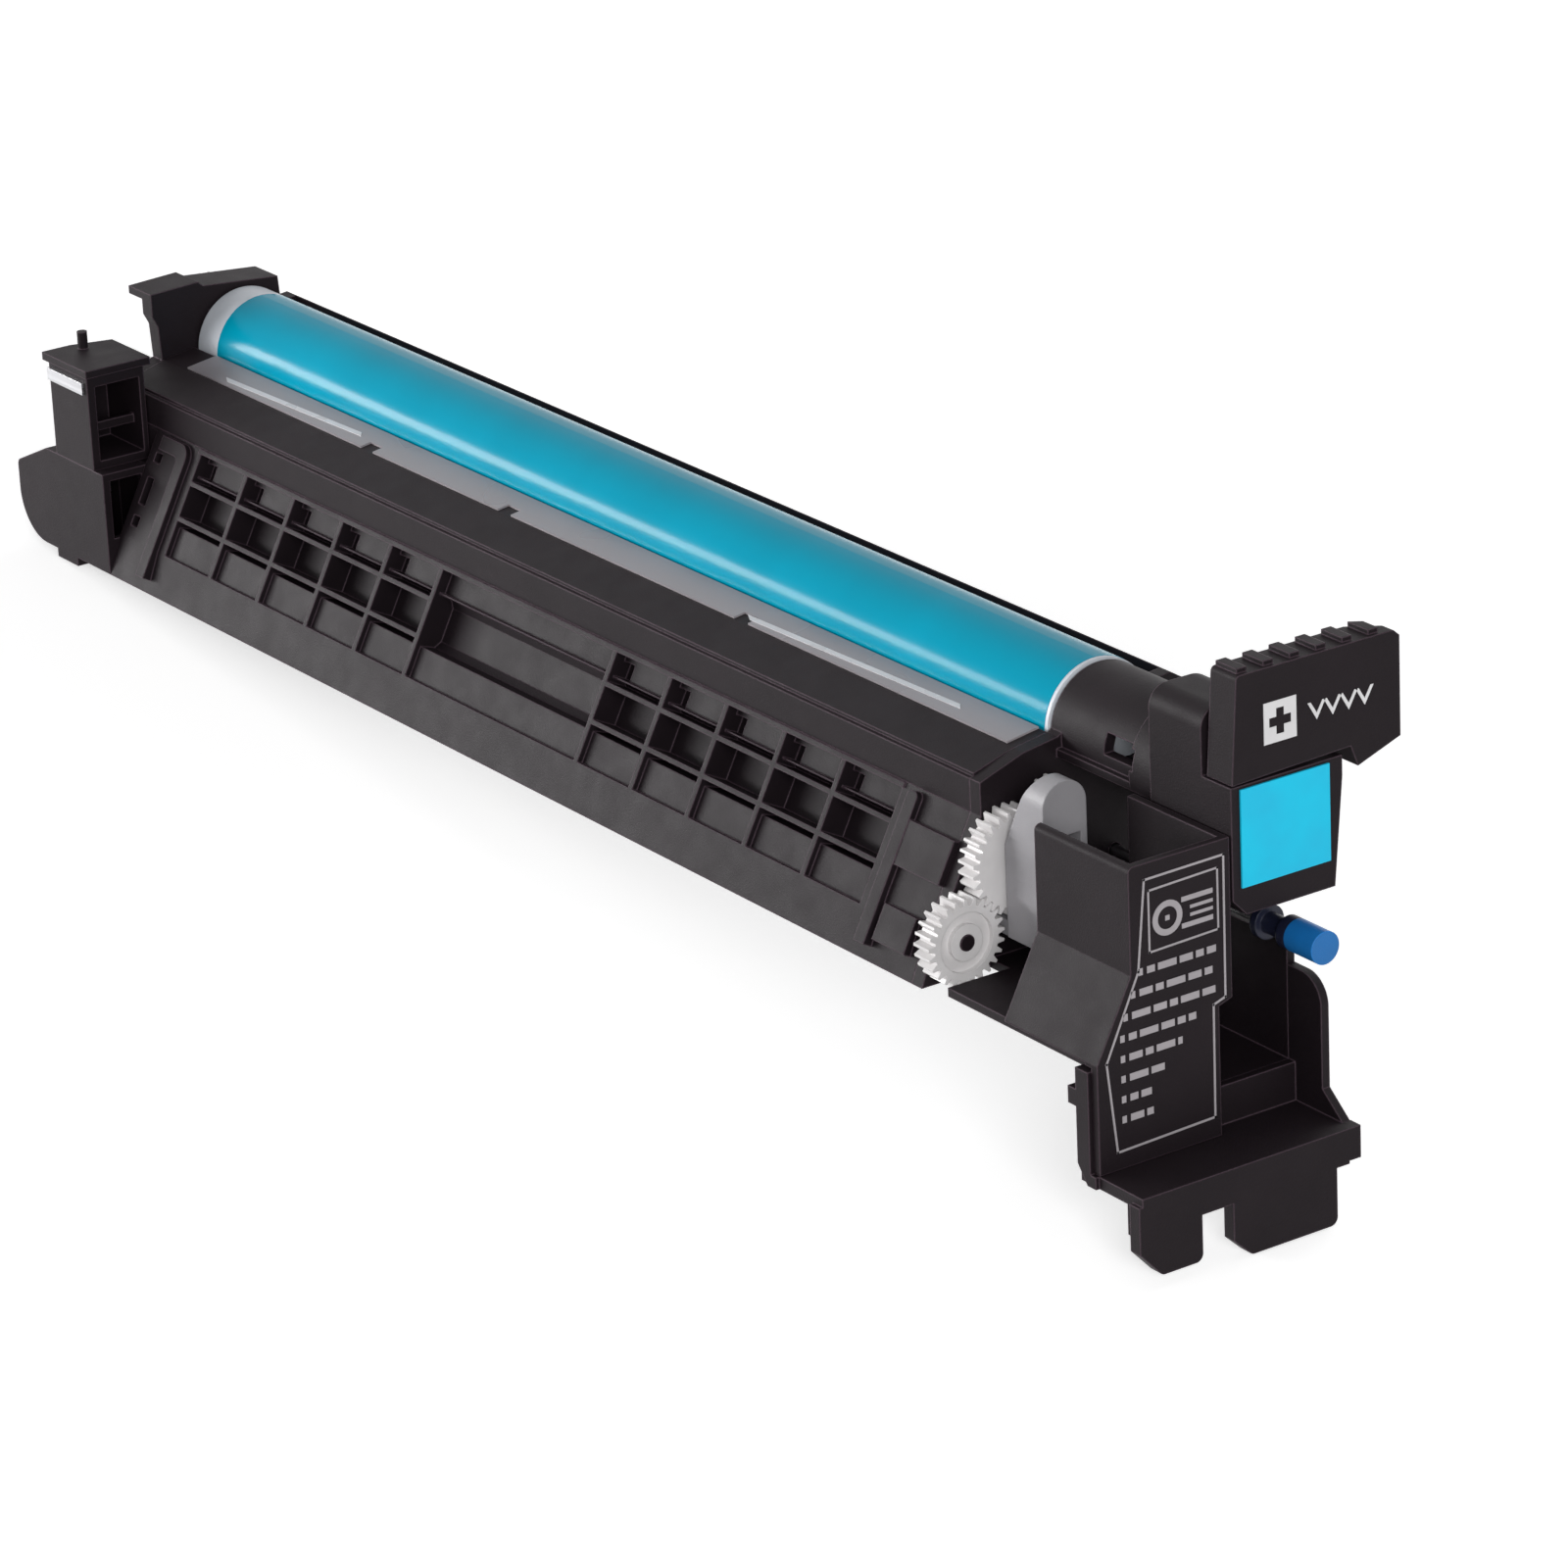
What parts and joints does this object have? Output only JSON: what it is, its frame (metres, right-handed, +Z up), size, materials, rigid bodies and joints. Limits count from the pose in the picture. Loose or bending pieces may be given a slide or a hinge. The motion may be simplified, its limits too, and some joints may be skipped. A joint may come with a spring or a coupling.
{
  "type": "laser printer imaging cartridge",
  "caption": "Long imaging cartridge with a coated drum, a developer trough with a ribbed side, a gear train, a push grip and a foot at the front, and a contact tower at the rear.",
  "frame": {"origin": "middle of the cartridge's box in x and y, at the lowest face of the front feet", "axes": "+X to the right seen from the front, +Y to the rear along the drum, +Z up"},
  "size_m": [0.0902, 0.505, 0.1333],
  "materials": {
    "dark_plastic": "fine grained moulded plastic",
    "film": "thin smooth film",
    "steel": "plain sheet and wire",
    "aluminium": "blasted tube",
    "magnet": "sintered magnet",
    "screw_plastic": "moulded",
    "pale_gear": "moulded acetal",
    "drum_coat": "smooth coated tube",
    "collar": "moulded, smooth",
    "bearing": "moulded bush",
    "badge": "flat printed field",
    "pale_grey": "moulded",
    "knob_blue": "moulded",
    "blade_rubber": "urethane strip",
    "pad_foam": "dense foam in a carrier"
  },
  "bodies": {
    "frame": {"developer_housing": "dark_plastic", "developer_cover": "dark_plastic", "seal_film": "film", "metering_blade": "steel", "magnet_core": "magnet", "drum_front_bearing": "bearing", "drum_rear_bearing": "bearing", "front_frame": "dark_plastic", "front_foot": "dark_plastic", "front_cover": "dark_plastic", "handle_column": "dark_plastic", "colour_badge": "badge", "lever_pin": "steel", "gear_bracket": "pale_grey", "cleaner_housing": "dark_plastic", "blade_holder": "steel", "cleaning_blade": "blade_rubber", "charger_case": "steel", "charger_grid": "steel", "charger_front_block": "pale_grey", "charger_rear_block": "pale_grey", "corona_wire": "steel", "rear_frame": "dark_plastic", "rear_cover": "dark_plastic", "rear_tower": "dark_plastic", "tower_cap": "dark_plastic", "contact_strip": "steel", "guide_pin": "steel"},
    "drum": {"drum_tube": "drum_coat", "drum_front_flange": "collar", "drum_rear_flange": "collar", "drum_gear": "pale_gear"},
    "waste": {"waste_screw": "screw_plastic", "waste_gear": "pale_gear"},
    "sleeve": {"developer_sleeve": "aluminium", "sleeve_gear": "pale_gear", "sleeve_rear_gear": "pale_gear"},
    "idler": {"idler_gear": "pale_gear"},
    "input": {"input_gear": "pale_gear"},
    "stir": {"stir_screw": "screw_plastic", "stir_gear": "pale_gear"},
    "feed": {"feed_screw": "screw_plastic", "feed_gear": "pale_gear"},
    "cleaner": {"cleaner_rod": "steel", "cleaner_knob": "knob_blue", "wire_pad": "pad_foam"},
    "lever": {"push_lever": "dark_plastic"}
  },
  "joints": [
    {"name": "drum_spin", "type": "hinge", "parent": "frame", "child": "drum", "pos_m": [0.01361, 0.0275, 0.0977], "axis": [0, 1, 0], "continuous": true},
    {"name": "waste_spin", "type": "hinge", "parent": "frame", "child": "waste", "pos_m": [0.03296, 0.0275, 0.08479], "axis": [0, 1, 0], "continuous": true},
    {"name": "sleeve_spin", "type": "hinge", "parent": "frame", "child": "sleeve", "pos_m": [-0.0064, 0.0275, 0.08519], "axis": [0, 1, 0], "continuous": true},
    {"name": "idler_spin", "type": "hinge", "parent": "frame", "child": "idler", "pos_m": [-0.01905, 0.0275, 0.07404], "axis": [0, 1, 0], "continuous": true},
    {"name": "input_spin", "type": "hinge", "parent": "frame", "child": "input", "pos_m": [-0.03432, 0.0275, 0.05812], "axis": [0, 1, 0], "continuous": true},
    {"name": "stir_spin", "type": "hinge", "parent": "frame", "child": "stir", "pos_m": [-0.00472, 0.0275, 0.06802], "axis": [0, 1, 0], "continuous": true},
    {"name": "feed_spin", "type": "hinge", "parent": "frame", "child": "feed", "pos_m": [-0.01953, 0.0275, 0.06432], "axis": [0, 1, 0], "continuous": true},
    {"name": "cleaner_slide", "type": "slide", "parent": "frame", "child": "cleaner", "axis": [0, -1, 0], "range_m": [0, 0.33]},
    {"name": "lever_press", "type": "hinge", "parent": "frame", "child": "lever", "pos_m": [0.00431, -0.2245, 0.1157], "axis": [0, 1, 0], "range_deg": [0, 2], "stiffness_Nm_per_rad": 1.5, "springref_deg": -11.46}
  ],
  "couplings": [
    {"joint": "waste_spin", "follows": "drum_spin", "ratio": -1.4167},
    {"joint": "idler_spin", "follows": "sleeve_spin", "ratio": -0.4},
    {"joint": "input_spin", "follows": "sleeve_spin", "ratio": 0.48},
    {"joint": "stir_spin", "follows": "sleeve_spin", "ratio": -1.15},
    {"joint": "feed_spin", "follows": "sleeve_spin", "ratio": 1.2778}
  ]
}
